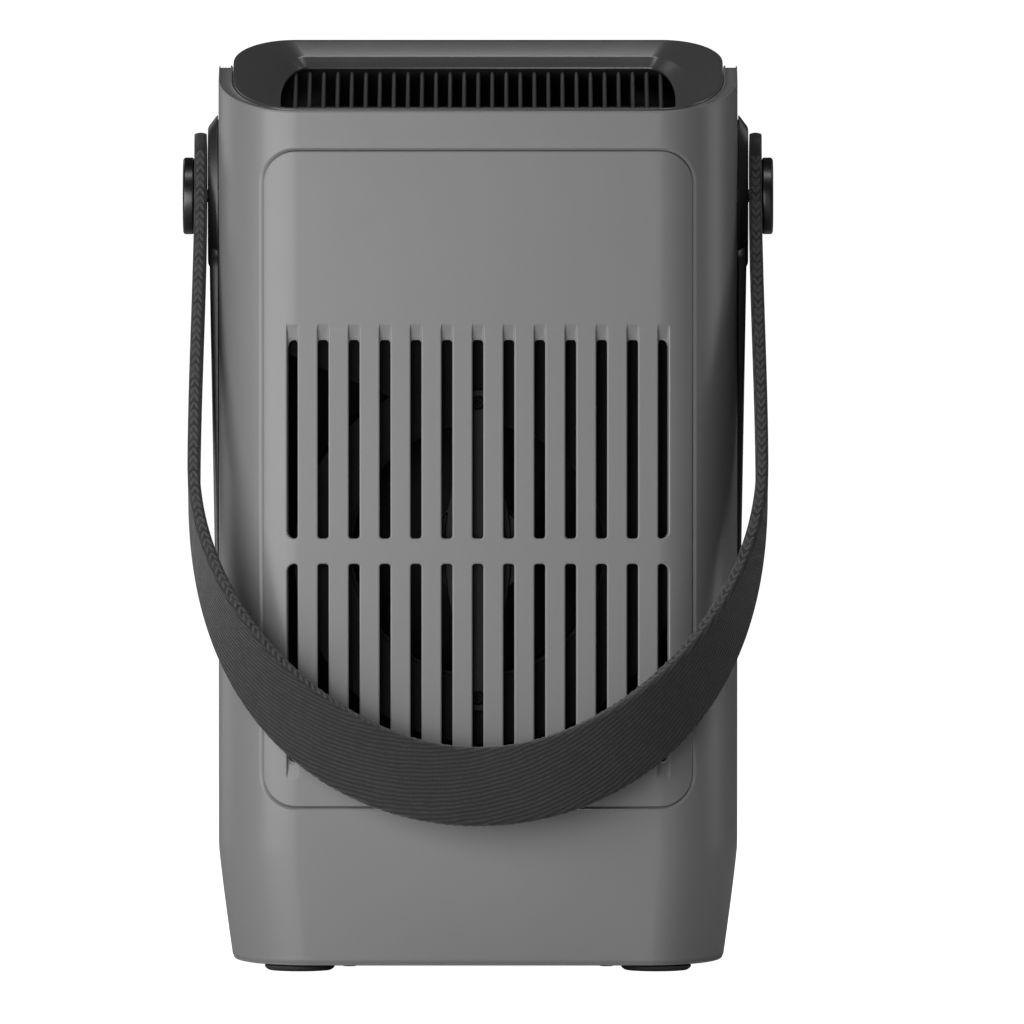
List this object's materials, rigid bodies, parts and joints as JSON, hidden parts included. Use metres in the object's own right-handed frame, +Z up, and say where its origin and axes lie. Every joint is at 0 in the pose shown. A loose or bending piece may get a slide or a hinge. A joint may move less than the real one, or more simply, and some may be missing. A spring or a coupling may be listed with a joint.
{
  "type": "portable upright fan",
  "caption": "Upright battery fan: slotted front shell, scooped top outlet with vanes, and a webbing strap that swings on side pivots.",
  "frame": {"origin": "middle of the base of the whole part, strap included, on the resting plane", "axes": "+Z up, -Y towards the front grille, +X to the right as seen from the front"},
  "size_m": [0.1844, 0.1114, 0.2871],
  "materials": {
    "shell": "satin light grey moulded shell",
    "dark_casing": "fine-textured dark grey moulding",
    "dark_collar": "smooth satin dark grey",
    "vane": "satin dark grey",
    "rubber": "matte black rubber",
    "boss": "semi-gloss dark grey",
    "button_metal": "dark anodised, turned face",
    "webbing": "woven charcoal webbing with a braided edge",
    "inner_plastic": "black moulding",
    "motor_steel": "plain steel",
    "screw_steel": "machined steel",
    "wheel": "black moulded wheel",
    "cell_wrap": "shrink wrap",
    "board": "green circuit board",
    "control": "soft-touch key"
  },
  "bodies": {
    "casing": {"front_shell": "shell", "front_grille": "shell", "rear_shell": "dark_casing", "top_collar": "dark_collar", "outlet_vanes": "vane", "base_plate": "dark_casing", "foot_front_left": "rubber", "foot_front_right": "rubber", "foot_rear_left": "rubber", "foot_rear_right": "rubber", "side_plate_left": "boss", "strap_button_left": "button_metal", "pivot_bush_left": "inner_plastic", "pivot_screw_left": "screw_steel", "side_plate_right": "boss", "strap_button_right": "button_metal", "pivot_bush_right": "inner_plastic", "pivot_screw_right": "screw_steel", "fan_housing": "inner_plastic", "inlet_plate": "inner_plastic", "motor_carrier": "inner_plastic", "motor_can": "motor_steel", "motor_endcap": "inner_plastic", "bearing_front": "motor_steel", "bearing_rear": "motor_steel", "battery_cell_1": "cell_wrap", "battery_cell_2": "cell_wrap", "battery_cell_3": "cell_wrap", "battery_cell_4": "cell_wrap", "battery_cradle": "inner_plastic", "control_board": "board", "charging_socket": "motor_steel", "case_screw_1": "screw_steel", "case_screw_2": "screw_steel", "case_screw_3": "screw_steel", "case_screw_4": "screw_steel", "carrier_screw_1": "screw_steel", "carrier_screw_2": "screw_steel", "base_screw_1": "screw_steel", "base_screw_2": "screw_steel", "base_screw_3": "screw_steel", "base_screw_4": "screw_steel"},
    "strap": {"strap": "webbing"},
    "fan_rotor": {"motor_rotor": "motor_steel", "motor_shaft": "motor_steel", "impeller": "wheel"},
    "power_key": {"power_button": "control"},
    "speed_key": {"speed_button": "control"}
  },
  "joints": [
    {"name": "strap_swing", "type": "hinge", "parent": "casing", "child": "strap", "pos_m": [0, 0.01415, 0.2398], "axis": [-1, 0, 0], "range_deg": [0, 316]},
    {"name": "fan_spin", "type": "hinge", "parent": "casing", "child": "fan_rotor", "pos_m": [0, 0.01015, 0.1312], "axis": [0, 1, 0], "continuous": true},
    {"name": "power_press", "type": "slide", "parent": "casing", "child": "power_key", "axis": [0, -1, 0], "range_m": [0, 0.0008], "stiffness_N_per_m": 400},
    {"name": "speed_press", "type": "slide", "parent": "casing", "child": "speed_key", "axis": [0, -1, 0], "range_m": [0, 0.0008], "stiffness_N_per_m": 400}
  ]
}
